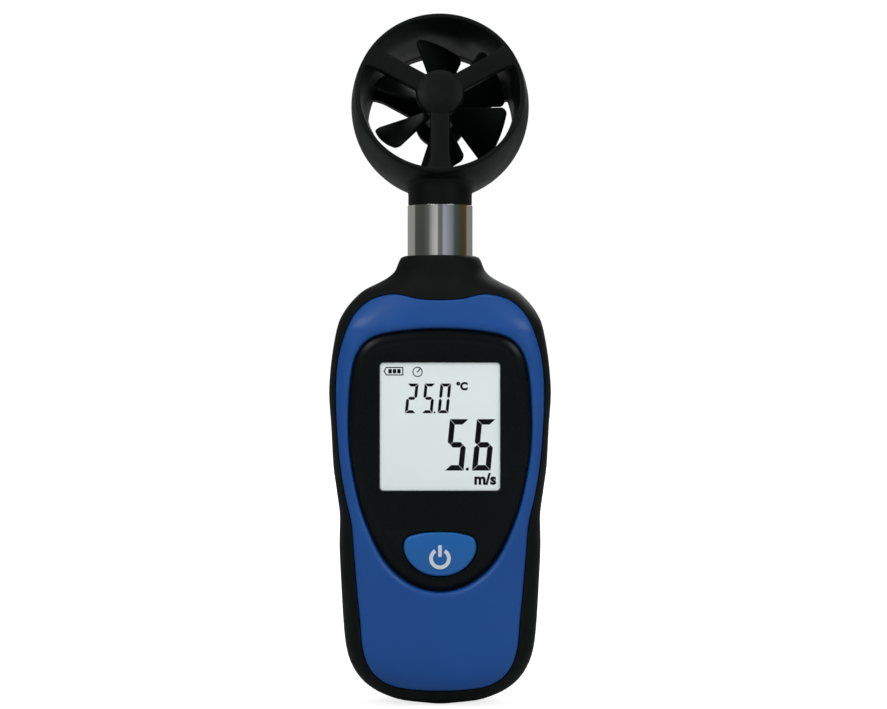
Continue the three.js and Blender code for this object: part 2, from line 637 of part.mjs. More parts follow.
function headShell() {
  const ring = turned(ringProfile(), { segments: 56 });
  const nose = turned(
    [[0, -11.7], [3.4, -11.5], [4.9, -11.2], [FRONT_HUB.radius, -10.7], [FRONT_HUB.radius, -10],
     [0, -10]],
    { segments: 32 },
  );
  const throughBore = pin(0, 0, -FAR, FAR, BORE_RADIUS, 56);
  const mouth = turned([[0, -FAR], [MOUTH[0][0], -FAR], ...MOUTH, [0, MOUTH.at(-1)[1]]], {
    segments: 56,
  });
  const stem = loft(
    STEM_SPREAD.map(([z, x, y]) =>
      Array.from({ length: ROUND }, (_, i) => {
        const angle = (2 * Math.PI * i) / ROUND;
        return [x * Math.cos(angle), y * Math.sin(angle), z];
      }),
    ),
  );
  const spigot = turned(
    [[0, SPIGOT_BOTTOM_Z], [SPIGOT_RADIUS - 0.5, SPIGOT_BOTTOM_Z],
     [SPIGOT_RADIUS, SPIGOT_BOTTOM_Z + 0.8], [SPIGOT_RADIUS, 117], [0, 117]],
    { segments: 32, up: true },
  );
  const leadBore = post(0, 0, 80, LEAD_TOP_Z + GAP + 0.5, LEAD_BORE_RADIUS);
  const foot = cut(asHeadPart(join(stem, spigot)), throughBore, mouth);
  const behind = pin(0, 0, HOOP.front - GAP, FAR, HOOP.seat, 56);
  const guard = spider(FRONT_HUB, 19.1);
  const bearingSeat = pin(0, 0, -11, -8, 2.1);
  return cut(
    join(ring, cut(foot, behind), guard, nose),
    bearingSeat,
    asHeadPart(leadBore),
  );
}

function rearGuard() {
  const { inner, outer, front } = HOOP;
  const back = RING_HALF_DEPTH;
  const hoop = turned([[inner, front], [outer, front], [outer, back], [inner, back]], {
    segments: 56,
  });
  const arms = spider(REAR_HUB, 17.5);
  const bearingSeat = pin(0, 0, 8, 10.3, 2.1);
  const sensorSeat = box(-1.9, 1.9, 8, 10.2, -5.2, -2.6);
  return cut(join(hoop, arms), bearingSeat, sensorSeat);
}

function bush(y0, y1) {
  return turned([[0.85, y0], [1.8, y0], [1.8, y1], [0.85, y1]], { segments: 24 });
}

piece("head_shell", headShell(), blackShell, leaningHead);
piece("rear_guard", rearGuard(), blackShell, leaningHead);
piece("front_bearing", bush(-10.7, -9), brass, leaningHead);
piece("rear_bearing", bush(8.8, 10), brass, leaningHead);
piece("speed_sensor", box(-1.6, 1.6, 8.8, 9.9, -4.9, -2.9), glossBlack, leaningHead);
const bead = new THREE.SphereGeometry(0.9, 12, 8).scale(1, 0.8, 1.5).translate(0, 7.6, -12.5);
piece("temperature_bead", solidOf(bead), glossBlack, leaningHead);

// ---------------------------------------------------------------- impeller
const BLADE = {
  rootRadius: 2.6, rootHalf: 1.3, tipHalf: 8.3, cornerRadius: 1, thickness: 0.8,
  pitch: THREE.MathUtils.degToRad(50), phase: 91,
};
const IMPELLER_MIDDLE_Y = -0.5;
const IMPELLER_HUB = { radius: 4, front: -5.3, back: 4.3 };

// One flat pitched blade that points up: its plan is a sector, and its front edge lies anticlockwise.
function blade() {
  const { rootRadius, rootHalf, tipHalf, cornerRadius, thickness, pitch } = BLADE;
  const tipAt = (c) => Math.sqrt(BLADE_TIP_RADIUS ** 2 - (c * Math.cos(pitch)) ** 2);
  const plan = new THREE.Shape();
  plan.moveTo(-rootHalf, rootRadius);
  plan.lineTo(rootHalf, rootRadius);
  plan.lineTo(tipHalf - cornerRadius * 0.4, tipAt(tipHalf) - cornerRadius);
  for (let i = 0; i <= 6; i++) {
    const c = (tipHalf - cornerRadius) * (1 - i / 3);
    plan.lineTo(c, tipAt(c));
  }
  plan.lineTo(-tipHalf + cornerRadius * 0.4, tipAt(tipHalf) - cornerRadius);
  plan.closePath();
  const plate = new THREE.ExtrudeGeometry(plan, { depth: thickness, bevelEnabled: false });
  plate.translate(0, 0, -thickness / 2);
  plate.rotateX(Math.PI / 2);
  plate.rotateZ(pitch);
  return plate;
}

function impeller() {
  const { radius, front, back } = IMPELLER_HUB;
  const hub = turned(
    [[0, front], [2.6, front], [radius, front + 1.4], [radius, back], [0, back]],
    { segments: 24 },
  );
  const blades = [];
  for (let i = 0; i < BLADES; i++) {
    const turn = THREE.MathUtils.degToRad(BLADE.phase - 90 + (360 * i) / BLADES);
    blades.push(solidOf(blade().rotateY(-turn).translate(0, IMPELLER_MIDDLE_Y, 0)));
  }
  return cut(join(hub, ...blades), pin(0, 0, -FAR, FAR, 0.6 + GAP));
}

piece("impeller", impeller(), blackShell, leaningHead);
piece("impeller_shaft", pin(0, 0, -10.5, 9.8, 0.6, 12), steel, leaningHead);
const magnet = [[0.9, 6.6], [2.8, 6.6], [2.8, 7.9], [0.9, 7.9]];
piece("rotor_magnet", turned(magnet, { segments: 24 }), steel, leaningHead);

export default anemometer;
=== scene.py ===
"""Handheld vane anemometer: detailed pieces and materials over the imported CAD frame."""
import json
import math

import bmesh
import bpy
from mathutils import Matrix, Vector
from mathutils.geometry import tessellate_polygon


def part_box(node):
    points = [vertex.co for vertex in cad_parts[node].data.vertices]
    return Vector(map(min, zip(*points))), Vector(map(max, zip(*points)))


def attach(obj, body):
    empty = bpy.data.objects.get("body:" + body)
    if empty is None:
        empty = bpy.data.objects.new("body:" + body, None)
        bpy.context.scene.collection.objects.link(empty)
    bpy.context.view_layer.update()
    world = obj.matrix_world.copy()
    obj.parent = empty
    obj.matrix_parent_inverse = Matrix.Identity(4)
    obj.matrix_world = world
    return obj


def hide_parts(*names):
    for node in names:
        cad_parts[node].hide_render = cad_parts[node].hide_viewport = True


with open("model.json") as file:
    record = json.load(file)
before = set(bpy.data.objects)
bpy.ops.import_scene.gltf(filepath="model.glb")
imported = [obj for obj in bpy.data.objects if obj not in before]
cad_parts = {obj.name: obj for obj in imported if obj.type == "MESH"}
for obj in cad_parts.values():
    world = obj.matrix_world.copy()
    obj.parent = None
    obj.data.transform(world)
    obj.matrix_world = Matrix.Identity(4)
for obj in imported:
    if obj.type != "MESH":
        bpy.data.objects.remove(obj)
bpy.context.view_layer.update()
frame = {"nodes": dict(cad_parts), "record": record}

# ---------------------------------------------------------------- sizes, in millimetres about the neck axis
MM = 0.001
SLEEVE_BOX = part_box("neck_sleeve")
NECK_Y = (SLEEVE_BOX[0].y + SLEEVE_BOX[1].y) / 2 / MM
GAP = 0.3
SEAM = 0.12
AXIS = 0.001  # radius that stands for the axis in a turned profile
FRONT_DEPTH = 13.5
BACK_DEPTH = 13.5
FLAT_BACK_Y = 13.2
HEEL_Z = 30.0
HEEL_SLOPE = math.tan(math.radians(3.5))
COLLAR_TOP_Z = 103.4
SLEEVE_TOP_Z = 115.1
SLEEVE_RADIUS = 7.55
STEM_RADIUS = 7.4
RING_RADIUS = 20.85
RING_HALF_DEPTH = 11.0
HEAD_LEAN = math.radians(15)
RING_CENTRE = Vector((0, RING_RADIUS * math.sin(HEAD_LEAN), 138.3))
HEAD = Matrix.Translation(RING_CENTRE) @ Matrix.Rotation(-HEAD_LEAN, 4, "X")
GUARD_ARMS = (30, 150, 270)
ARM_WIDTH, ARM_INNER_RADIUS = 4.5, 3.0
FRAME_FLAT_Y = -12.0
WINDOW = dict(half_width=13.7, bottom=49.6, top=78.75, corner=0.8)

CASE_HALF_WIDTH = (
    (0, 3.4), (0.7, 9.4), (1.7, 12.4), (3.1, 15.2), (5.2, 17.8), (8, 19.8), (11.5, 21.2), (16, 22),
    (28, 22.8), (37.5, 23.2), (43, 23.1), (49, 23.8), (55, 24.6), (64, 25.1), (72, 25.6), (77, 25.3),
    (83, 24.5), (88, 23.4), (91, 21.9), (93.5, 19.9), (95.5, 17.7), (97.2, 14.4), (98.5, 12.1),
    (100, 10.5), (102.3, 9.5), (103.1, 9), (COLLAR_TOP_Z, 8.3),
)
CASE_DEPTH_SHARE = (
    (0, 0.28), (0.7, 0.43), (1.7, 0.57), (3.1, 0.7), (5.2, 0.82), (8, 0.915), (14, 0.985), (24, 1),
    (76, 1), (86, 0.97), (91, 0.9), (95, 0.81), (98.5, 0.73), (102.3, 0.7), (103.1, 0.665),
    (COLLAR_TOP_Z, 0.615),
)
FRONT_SQUARENESS = ((0, 2.4), (5, 3.2), (14, 5), (86, 5), (92, 3.4), (97, 2.3), (99, 2))
BACK_SQUARENESS = ((0, 2.4), (5, 2.9), (14, 3.6), (84, 3.6), (92, 2.8), (97, 2.2), (99, 2))
SHELL_HALF = (
    (0, 93.05), (4.8, 93.3), (10.7, 94.4), (16, 93), (19.1, 90.3), (20.8, 87.5), (22.3, 83.4),
    (23.4, 78.6), (23.8, 71.7), (23.4, 61.5), (22.5, 53.2), (21.5, 47.7), (20.2, 42.2), (19.7, 36.7),
    (18.9, 27), (18.2, 20), (17.7, 14.2), (16.5, 10), (14.6, 7.2), (11.4, 5.1), (5.5, 4), (0, 3.8),
)
FRAME_HALF = (
    (0, 86.65), (9.4, 86.05), (15, 84.8), (17.6, 83), (19.3, 80.2), (20.3, 76), (20.9, 68.4),
    (20.9, 61.6), (20.4, 56.2), (19.4, 50.7), (18, 45), (14.8, 37.1), (12.3, 33), (9.3, 30),
    (5.3, 27.6), (0, 26.5),
)
BUTTON_HALF = (
    (0, 40.2), (5, 39.8), (7.6, 38.8), (8.25, 37), (7.7, 34.8), (5.9, 32.4), (3.2, 30.8), (0, 30.3),
)


# ---------------------------------------------------------------- curves
def along(knots, t):
    """Value at t of the smooth monotone curve through (t, value) knots."""
    if t <= knots[0][0]:
        return knots[0][1]
    if t >= knots[-1][0]:
        return knots[-1][1]

    def slope(i):
        return (knots[i + 1][1] - knots[i][1]) / (knots[i + 1][0] - knots[i][0])

    def tangent(i):
        if i == 0:
            return slope(0)
        if i == len(knots) - 1:
            return slope(i - 1)
        before, after = slope(i - 1), slope(i)
        return 0.0 if before * after <= 0 else 2 * before * after / (before + after)

    i = max(k for k in range(len(knots) - 1) if knots[k][0] <= t)
    width = knots[i + 1][0] - knots[i][0]
    s = (t - knots[i][0]) / width
    a, b = knots[i][1], knots[i + 1][1]
    return (
        a * (1 + 2 * s) * (1 - s) ** 2
        + b * (3 - 2 * s) * s**2
        + tangent(i) * width * s * (1 - s) ** 2
        - tangent(i + 1) * width * (1 - s) * s**2
    )


def closed_curve(points, samples):
    """Evenly spaced points on the closed centripetal Catmull-Rom curve through 2-D points."""
    points = [Vector(p) for p in points]
    count = len(points)
    fine = []
    for i in range(count):
        p = [points[(i + k - 1) % count] for k in range(4)]
        t = [0.0]
        for k in range(3):
            t.append(t[-1] + max((p[k + 1] - p[k]).length, 1e-6) ** 0.5)
        for step in range(40):
            u = t[1] + (t[2] - t[1]) * step / 40
            a = [p[k] + (p[k + 1] - p[k]) * ((u - t[k]) / (t[k + 1] - t[k])) for k in range(3)]
            b = [a[k] + (a[k + 1] - a[k]) * ((u - t[k]) / (t[k + 2] - t[k])) for k in range(2)]
            fine.append(b[0] + (b[1] - b[0]) * ((u - t[1]) / (t[2] - t[1])))
    return respaced(fine, samples)


def respaced(loop, samples):
    """A closed loop of points at even distances along it, from its first point."""
    lengths = [0.0]
    for i in range(len(loop)):
        lengths.append(lengths[-1] + (loop[(i + 1) % len(loop)] - loop[i]).length)
    out, k = [], 0
    for s in range(samples):
        target = lengths[-1] * s / samples
        while lengths[k + 1] < target:
            k += 1
        span = max(lengths[k + 1] - lengths[k], 1e-9)
        a, b = loop[k], loop[(k + 1) % len(loop)]
        out.append(a + (b - a) * ((target - lengths[k]) / span))
    return out


def mirrored(half, samples):
    """A closed symmetric outline, clockwise seen from the front, from the top centre."""
    return closed_curve(list(half) + [(-x, z) for x, z in reversed(half[1:-1])], samples)


def grown(outline, distance):
    """The clockwise outline moved outwards by distance, or inwards where it is negative."""
    out = []
    for i, point in enumerate(outline):
        chord = outline[(i + 1) % len(outline)] - outline[i - 1]
        out.append(point + Vector((-chord.y, chord.x)).normalized() * distance)
    return out


def rounded_rectangle(x0, x1, z0, z1, radius, steps=8):
    """A clockwise rectangle with round corners."""
    out = []
    for cx, cz, start in (
        (x0 + radius, z1 - radius, 180), (x1 - radius, z1 - radius, 90),
        (x1 - radius, z0 + radius, 0), (x0 + radius, z0 + radius, -90),
    ):
        for i in range(steps + 1):
            angle = math.radians(start - 90 * i / steps)
            out.append(Vector((cx + radius * math.cos(angle), cz + radius * math.sin(angle))))
    return out


def filleted(profile, radii, steps=5):
    """A closed profile with its corners rounded; radii gives one radius a corner."""
    out = []
    for i, (corner, radius) in enumerate(zip(profile, radii)):
        b = Vector(corner)
        if radius == 0:
            out.append(b)
            continue
        a, c = Vector(profile[i - 1]), Vector(profile[(i + 1) % len(profile)])
        reach = min(radius, (a - b).length * 0.48, (c - b).length * 0.48)
        p, q = b + (a - b).normalized() * reach, b + (c - b).normalized() * reach
        for k in range(steps + 1):
            t = k / steps
            out.append(p * (1 - t) ** 2 + b * 2 * t * (1 - t) + q * t**2)
    return out


# ---------------------------------------------------------------- meshes
class Form:
    """Points and faces in millimetres about the neck axis, gathered before they become an object."""

    def __init__(self):
        self.points, self.faces = [], []

    def add(self, points, faces, matrix=None):
        base = len(self.points)
        self.points += [matrix @ Vector(p) if matrix else Vector(p) for p in points]
        self.faces += [[base + i for i in face] for face in faces]
        return self

    def rings(self, rings, matrix=None, closed=False, caps=(True, True)):
        """Quads between equal closed rings, with flat caps unless the last ring joins the first."""
        n = len(rings[0])
        last = len(rings) if closed else len(rings) - 1
        faces = [
            [r * n + i, r * n + (i + 1) % n, ((r + 1) % len(rings)) * n + (i + 1) % n,
             ((r + 1) % len(rings)) * n + i]
            for r in range(last) for i in range(n)
        ]
        if not closed and caps[0]:
            faces.append(list(range(n - 1, -1, -1)))
        if not closed and caps[1]:
            faces.append([(len(rings) - 1) * n + i for i in range(n)])
        return self.add([p for ring in rings for p in ring], faces, matrix)

    def turned(self, profile, segments=128, matrix=None, closed=True, up=False, x=0, z=0):
        """A [radius, height] profile turned about Y, or about Z with up."""
        rings = []
        for radius, height in profile:
            ring = []
            for i in range(segments):
                angle = 2 * math.pi * i / segments
                c, s = radius * math.cos(angle), radius * math.sin(angle)
                ring.append((c + x, s, height) if up else (c + x, height, s + z))
            rings.append(ring)
        return self.rings(rings, matrix, closed, (not closed, not closed))

    def slab(self, outline, y0, y1, edge=0.0, steps=4, crown=0.0):
        """An outline pushed from back y1 to front y0, with a round front edge and an optional crown."""
        crown_rings = 10
        loops = [[(p.x, y1, p.y) for p in outline]]
        for k in range(steps + 1):
            angle = math.pi / 2 * k / steps
            inset = edge * (1 - math.cos(angle))
            y = y0 + edge * (1 - math.sin(angle))
            loops.append([(p.x, y, p.y) for p in grown(outline, -inset)])
        if crown:
            inner = grown(outline, -edge)
            centre = sum(inner, Vector((0, 0))) / len(inner)
            for k in range(1, crown_rings):
                t = k / crown_rings
                y = y0 - crown * (1 - (1 - t) ** 2)
                loops.append([tuple((centre + (p - centre) * (1 - t)).to_3d().xzy + Vector((0, y, 0)))
                              for p in inner])
        return self.rings(loops)

    def built(self, name="scratch"):
        """A mesh object in metres in the CAD frame, with its faces turned outwards."""
        mesh = bpy.data.meshes.new(name)
        mesh.from_pydata([(p.x * MM, (p.y + NECK_Y) * MM, p.z * MM) for p in self.points], [], self.faces)
        obj = bpy.data.objects.new(name, mesh)
        bpy.context.scene.collection.objects.link(obj)
        clean(obj)
        return obj

    def piece(self, name, material, body="case", nodes=(), slot=None, angle=32):
        """The finished object, riding on its body, in place of the CAD nodes named."""
        return finished(self.built(name), material, body, nodes, angle)


def clean(obj):
    """Merges doubled points and turns every face outwards."""
    work = bmesh.new()
    work.from_mesh(obj.data)
    bmesh.ops.remove_doubles(work, verts=work.verts, dist=1e-6)
    bmesh.ops.recalc_face_normals(work, faces=work.faces)
    work.to_mesh(obj.data)
    work.free()


def finished(obj, material, body, nodes, angle=32):
    """Gives an object its material, smooth shading with sharp edges past the angle, and body, and hides the
    CAD nodes it replaces.
    """
    obj.data.materials.clear()
    obj.data.materials.append(material)
    obj.data.polygons.foreach_set("use_smooth", [True] * len(obj.data.polygons))
    obj.data.set_sharp_from_angle(angle=math.radians(angle))
    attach(obj, body)
    if nodes:
        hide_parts(*nodes)
    return obj


def carve(target, tool, operation="DIFFERENCE"):
    """Cuts the tool from the target, keeps what they share or joins them, and removes the tool."""
    cut = target.modifiers.new("cut", "BOOLEAN")
    cut.object, cut.operation, cut.solver = tool, operation, "EXACT"
    graph = bpy.context.evaluated_depsgraph_get()
    mesh = bpy.data.meshes.new_from_object(target.evaluated_get(graph))
    target.modifiers.clear()
    old, target.data = target.data, mesh
    bpy.data.meshes.remove(old)
    bpy.data.objects.remove(tool)
    return target


# ---------------------------------------------------------------- case form
def case_ring(z, shrink=0.0):
    """The case's section at height z: two super-ellipses, cut off flat at the back."""
    segments = 192
    half_width = max(along(CASE_HALF_WIDTH, z) - shrink, 1)
    share = along(CASE_DEPTH_SHARE, z)
    ring = []
    for i in range(segments):
        angle = 2 * math.pi * i / segments
        c, s = math.cos(angle), math.sin(angle)
        power = 2 / along(FRONT_SQUARENESS if s < 0 else BACK_SQUARENESS, z)
        depth = max((FRONT_DEPTH if s < 0 else BACK_DEPTH) * share - shrink, 1)
        x = half_width * math.copysign(abs(c) ** power, c)
        y = depth * math.copysign(abs(s) ** power, s)
        ring.append((x, min(y, FLAT_BACK_Y - shrink - max(HEEL_Z - z, 0) * HEEL_SLOPE), z))
    return ring


def case_form(shrink=0.0):
    """The whole case as one solid, with closer rings where it turns in."""
    heights = [0, 0.2, 0.45, 0.7, 1, 1.35, 1.7, 2.2, 2.8, 3.5, 4.3, 5.2, 6.2, 7.3, 8.5, 10]
    heights += [11.5 + 1.5 * i for i in range(50)]
    heights += [86.3 + 0.5 * i for i in range(32)]
    heights += [102.2, 102.5, 102.8, 103.0, 103.15, 103.28, 103.36, COLLAR_TOP_Z]
    return Form().rings([case_ring(z, shrink) for z in heights])


def front_y(x, z):
    """Depth of the case's front surface at a front-view place."""
    half_width = along(CASE_HALF_WIDTH, z)
    power = along(FRONT_SQUARENESS, z)
    inside = max(1 - (abs(x) / half_width) ** power, 0)
    return -FRONT_DEPTH * along(CASE_DEPTH_SHARE, z) * inside ** (1 / power)


# ---------------------------------------------------------------- materials
class Paint:
    """A principled material with noise-driven colour, roughness and bump, in object space."""

    def __init__(self, name):
        self.material = bpy.data.materials.new(name)
        self.material.use_nodes = True
        self.nodes = self.material.node_tree.nodes
        self.links = self.material.node_tree.links
        self.shader = self.nodes["Principled BSDF"]
        self.place = self.nodes.new("ShaderNodeTexCoord").outputs["Object"]

    def noise(self, scale, detail=4.0, stretch=(1, 1, 1), rough=0.5):
        spread = self.nodes.new("ShaderNodeMapping")
        spread.inputs["Scale"].default_value = stretch
        self.links.new(self.place, spread.inputs["Vector"])
        node = self.nodes.new("ShaderNodeTexNoise")
        node.inputs["Scale"].default_value = scale
        node.inputs["Detail"].default_value = detail
        node.inputs["Roughness"].default_value = rough
        self.links.new(spread.outputs["Vector"], node.inputs["Vector"])
        return node.outputs["Fac"]

    def ramp(self, value, stops):
        node = self.nodes.new("ShaderNodeValToRGB")
        ramp = node.color_ramp
        while len(ramp.elements) < len(stops):
            ramp.elements.new(0.5)
        for element, (place, colour) in zip(ramp.elements, stops):
            element.position = place
            element.color = (*colour, 1)
        self.links.new(value, node.inputs["Fac"])
        return node.outputs["Color"]

    def span(self, value, low, high, source=(0.3, 0.7)):
        node = self.nodes.new("ShaderNodeMapRange")
        node.inputs["From Min"].default_value, node.inputs["From Max"].default_value = source
        node.inputs["To Min"].default_value, node.inputs["To Max"].default_value = low, high
        self.links.new(value, node.inputs["Value"])
        return node.outputs["Result"]

    def mix(self, factor, a, b):
        node = self.nodes.new("ShaderNodeMix")
        node.data_type = "RGBA"
        for socket, value in ((0, factor), (6, a), (7, b)):
            if isinstance(value, (int, float)):
                node.inputs[socket].default_value = value
            elif isinstance(value, tuple):
                node.inputs[socket].default_value = (*value, 1)
            else:
                self.links.new(value, node.inputs[socket])
        return node.outputs[2]

    def edges(self):
        """1 on convex edges, where a paler colour stands for wear and a painted highlight, 0 elsewhere."""
        shape = self.nodes.new("ShaderNodeNewGeometry").outputs["Pointiness"]
        return self.span(shape, 0.0, 1.0, (0.52, 0.6))

    def bump(self, value, distance, strength=0.5):
        node = self.nodes.new("ShaderNodeBump")
        node.inputs["Strength"].default_value = strength
        node.inputs["Distance"].default_value = distance
        self.links.new(value, node.inputs["Height"])
        previous = self.shader.inputs["Normal"].links
        if previous:
            self.links.new(previous[0].from_socket, node.inputs["Normal"])
        self.links.new(node.outputs["Normal"], self.shader.inputs["Normal"])

    def colour(self, socket):
        self.links.new(socket, self.shader.inputs["Base Color"])

    def roughness(self, socket):
        self.links.new(socket, self.shader.inputs["Roughness"])

    def fixed(self, **values):
        for name, value in values.items():
            self.shader.inputs[name.replace("_", " ")].default_value = value
        return self


def shaded(colour, share):
    return tuple(min(c * share, 1) for c in colour)


def moulding(name, colour, rough, grain=0.00002, wear_and_highlight=1.25, coat=0.0, gloss=0.3, scale=2600):
    """Moulded plastic or rubber: faint colour drift, spark-eroded grain, handled sheen, and pale edges that
    are partly wear and partly a painted highlight.
    """
    paint = Paint(name).fixed(Specular_IOR_Level=gloss, Coat_Weight=coat, Coat_Roughness=0.12)
    drift = paint.ramp(paint.noise(45, 3), ((0.3, shaded(colour, 0.92)), (0.7, shaded(colour, 1.08))))
    # Convex edges lighter in colour: partly wear, partly a painted highlight along the rims.
    worn_and_highlit = paint.mix(paint.edges(), drift, shaded(colour, wear_and_highlight))
    paint.colour(worn_and_highlit)
    paint.roughness(paint.span(paint.noise(170, 5), rough * 0.88, rough * 1.14))
    paint.bump(paint.noise(scale, 2), grain, 0.45)
    return paint.material


def metal(name, colour, rough, stretch=(1, 1, 1), scale=900, grain=0.000004, ripple=0.0):
    """Plated or turned metal with fine directional marks, and a slow ripple where it was buffed."""
    paint = Paint(name).fixed(Metallic=1.0)
    marks = paint.noise(scale, 6, stretch, 0.65)
    paint.colour(paint.ramp(paint.noise(60, 3), ((0.3, shaded(colour, 0.94)), (0.7, colour))))
    paint.roughness(paint.span(marks, rough * 0.7, rough * 1.5))
    paint.bump(marks, grain, 0.35)
    if ripple:
        paint.bump(paint.noise(150, 1, (1, 1, 0.4)), ripple, 0.5)
    return paint.material


# On the blue shell the pale edges mostly stand for a painted highlight along its rims.
BLUE = moulding("blue_shell", (0.0098, 0.092, 0.37), 0.42, wear_and_highlight=1.15, coat=0.06)
BLUE_KEY = moulding("blue_key", (0.015, 0.155, 0.5), 0.34, wear_and_highlight=1.4, coat=0.1)
BLACK = moulding("black_shell", (0.0032, 0.005, 0.0045), 0.45, wear_and_highlight=1.5, gloss=0.12)
RUBBER = moulding("black_rubber", (0.0036, 0.0058, 0.0052), 0.62, grain=0.00003, wear_and_highlight=1.5, gloss=0.12,
                  scale=2000)
GLOSS = moulding("gloss_black", (0.0034, 0.0058, 0.006), 0.28, grain=0.000004, wear_and_highlight=1.5, gloss=0.12,
                 scale=700)
WHITE = moulding("white_plastic", (0.78, 0.8, 0.79), 0.5)
BOARD = moulding("circuit_board", (0.02, 0.16, 0.06), 0.45)
JACKET = moulding("cell_jacket", (0.26, 0.3, 0.04), 0.32)
LEGEND = moulding("white_legend", (0.82, 0.86, 0.9), 0.45, grain=0.000005, wear_and_highlight=1.0)
SEGMENT = moulding("display_segments", (0.004, 0.005, 0.007), 0.6, grain=0.000003, wear_and_highlight=1.0, gloss=0.1)
STEEL = metal("steel", (0.56, 0.57, 0.58), 0.3)
BRASS = metal("brass", (0.66, 0.47, 0.18), 0.28)
CHROME = metal("polished_metal", (0.82, 0.82, 0.81), 0.04, stretch=(30, 30, 1.2), scale=160, grain=0.000003,
               ripple=0.00009)


def glowing_display_reflector():
    """The pale reflective film behind the liquid crystal: a slow greenish drift, a faint tooth and a painted
    glow.
    """
    # The emission is painted light: it makes the panel glow to its pale tone, though it is no lamp.
    paint = Paint("display_glass").fixed(Specular_IOR_Level=0.2, Emission_Color=(0.63, 0.7, 0.7, 1),
                                         Emission_Strength=0.62)
    tint = paint.ramp(paint.noise(38, 2), ((0.3, (0.63, 0.68, 0.68)), (0.7, (0.69, 0.74, 0.74))))
    paint.colour(tint)
    paint.roughness(paint.span(paint.noise(900, 3), 0.4, 0.55))
    paint.bump(paint.noise(3800, 2), 0.000006, 0.3)
    return paint.material


def window():
    """Thin clear cover: clear apart from its gloss and a trace of handling."""
    paint = Paint("clear_window").fixed(Alpha=0.05, Base_Color=(0.01, 0.012, 0.012, 1))
    paint.roughness(paint.span(paint.noise(90, 4), 0.03, 0.09))
    paint.bump(paint.noise(60, 2), 0.000004, 0.2)
    return paint.material


GLOWING_REFLECTOR = glowing_display_reflector()
CLEAR = window()
BY_SLOT = {
    "blue_shell": BLUE, "blue_key": BLUE_KEY, "black_shell": BLACK, "black_rubber": RUBBER,
    "gloss_black": GLOSS, "clear_window": CLEAR, "display_glass": GLOWING_REFLECTOR, "white_plastic": WHITE,
    "circuit_board": BOARD, "polished_metal": CHROME, "steel": STEEL, "brass": BRASS,
    "cell_jacket": JACKET,
}
for subpart in frame["record"]["subparts"]:
    node = bpy.data.objects.get(subpart["node"]) or frame["nodes"][subpart["node"]]
    for index in range(max(len(node.material_slots), 1)):
        if node.material_slots:
            node.material_slots[index].material = BY_SLOT[subpart["material_slot"]]
        else:
            node.data.materials.append(BY_SLOT[subpart["material_slot"]])

# ---------------------------------------------------------------- camera
CAMERA_DISTANCE = 0.513
camera_data = bpy.data.cameras.new("camera")
camera_data.lens = 89.5
camera_data.sensor_width = 36
camera_data.clip_start, camera_data.clip_end = 0.01, 100
camera = bpy.data.objects.new("camera", camera_data)
camera.location = (0.0008, NECK_Y * MM - CAMERA_DISTANCE, 0.0806)
camera.rotation_euler = (math.radians(90), 0, 0)
bpy.context.scene.collection.objects.link(camera)
bpy.context.scene.camera = camera

# ---------------------------------------------------------------- case shells
FAR = 40  # past the case in front and behind
FRONT_WALL_Y = -2.15
REAR_WALL_Y = -1.85
LIP_HALF_DEPTH = 1.8
COVER_INNER_Y = 9.4
COVER = dict(half_width=17.5, bottom=7.4, top=60.5, corner=2.2)
COVER_FOLLOWS_BELOW_Z = 20
SCREW_X, SCREW_Z = 13, 90
SCREW_HOLE_RADIUS, SCREW_HOLE_FRONT_Y = 2.3, 8.2
shell_outline = mirrored(SHELL_HALF, 320)
frame_outline = mirrored(FRAME_HALF, 320)
button_outline = mirrored(BUTTON_HALF, 160)


def prism(outline, y0, y1):
    return Form().slab(outline, y0, y1)


def blue_front():
    """The blue shell: a crowned band that rolls down to the display frame and to the rubber, with its
    walls back to the parting plane and a ledge under the display frame."""
    inner_roll, inner_drop, outer_roll, outer_drop = 1.5, 1.0, 0.55, 0.6
    inner_in, inner_out = frame_outline, grown(frame_outline, inner_roll)
    outer_in, outer_out = grown(shell_outline, -outer_roll), shell_outline
    ledge, wall = grown(frame_outline, -1.6), grown(shell_outline, -2.2)

    def level(outline, y):
        return [(p.x, y, p.y) for p in outline]

    def draped(outline, drop):
        return [(p.x, front_y(p.x, p.y) + drop, p.y) for p in outline]

    def between(a, b, t):
        return [p.lerp(q, t) for p, q in zip(a, b)]

    def rolled(edge, shoulder, drop, share):
        angle = math.pi / 2 * share
        return draped(between(edge, shoulder, 1 - math.cos(angle)), drop * (1 - math.sin(angle)))

    rings = [level(ledge, -9.9), level(inner_in, -9.9), draped(inner_in, inner_drop + 1.2)]
    rings += [rolled(inner_in, inner_out, inner_drop, k / 6) for k in range(7)]
    rings += [draped(between(inner_out, outer_in, k / 12), 0) for k in range(1, 12)]
    rings += [rolled(outer_out, outer_in, outer_drop, 1 - k / 5) for k in range(6)]
    rings += [draped(outer_out, outer_drop + 1.2), level(outer_out, FRONT_WALL_Y), level(wall, FRONT_WALL_Y)]
    rings += [draped(wall, 2.6), level(inner_in, -8.9), level(ledge, -8.9)]
    form = Form().rings(rings, closed=True)
    return form.piece("front_case_face", BLUE, nodes=("front_case",), slot="blue_shell", angle=50)


def grip():
    """The rubber round the sides, the foot and the collar, open where the shells sit."""
    obj = case_form().built()
    carve(obj, prism(grown(shell_outline, SEAM), -FAR, FAR).built())
    bore = Form().turned([(SLEEVE_RADIUS + GAP, 80), (SLEEVE_RADIUS + GAP, 110)], 128, closed=False, up=True)
    carve(obj, bore.built())
    obj.name = obj.data.name = "grip_rubber"
    return finished(obj, RUBBER, "case", ("grip_frame",), 40)


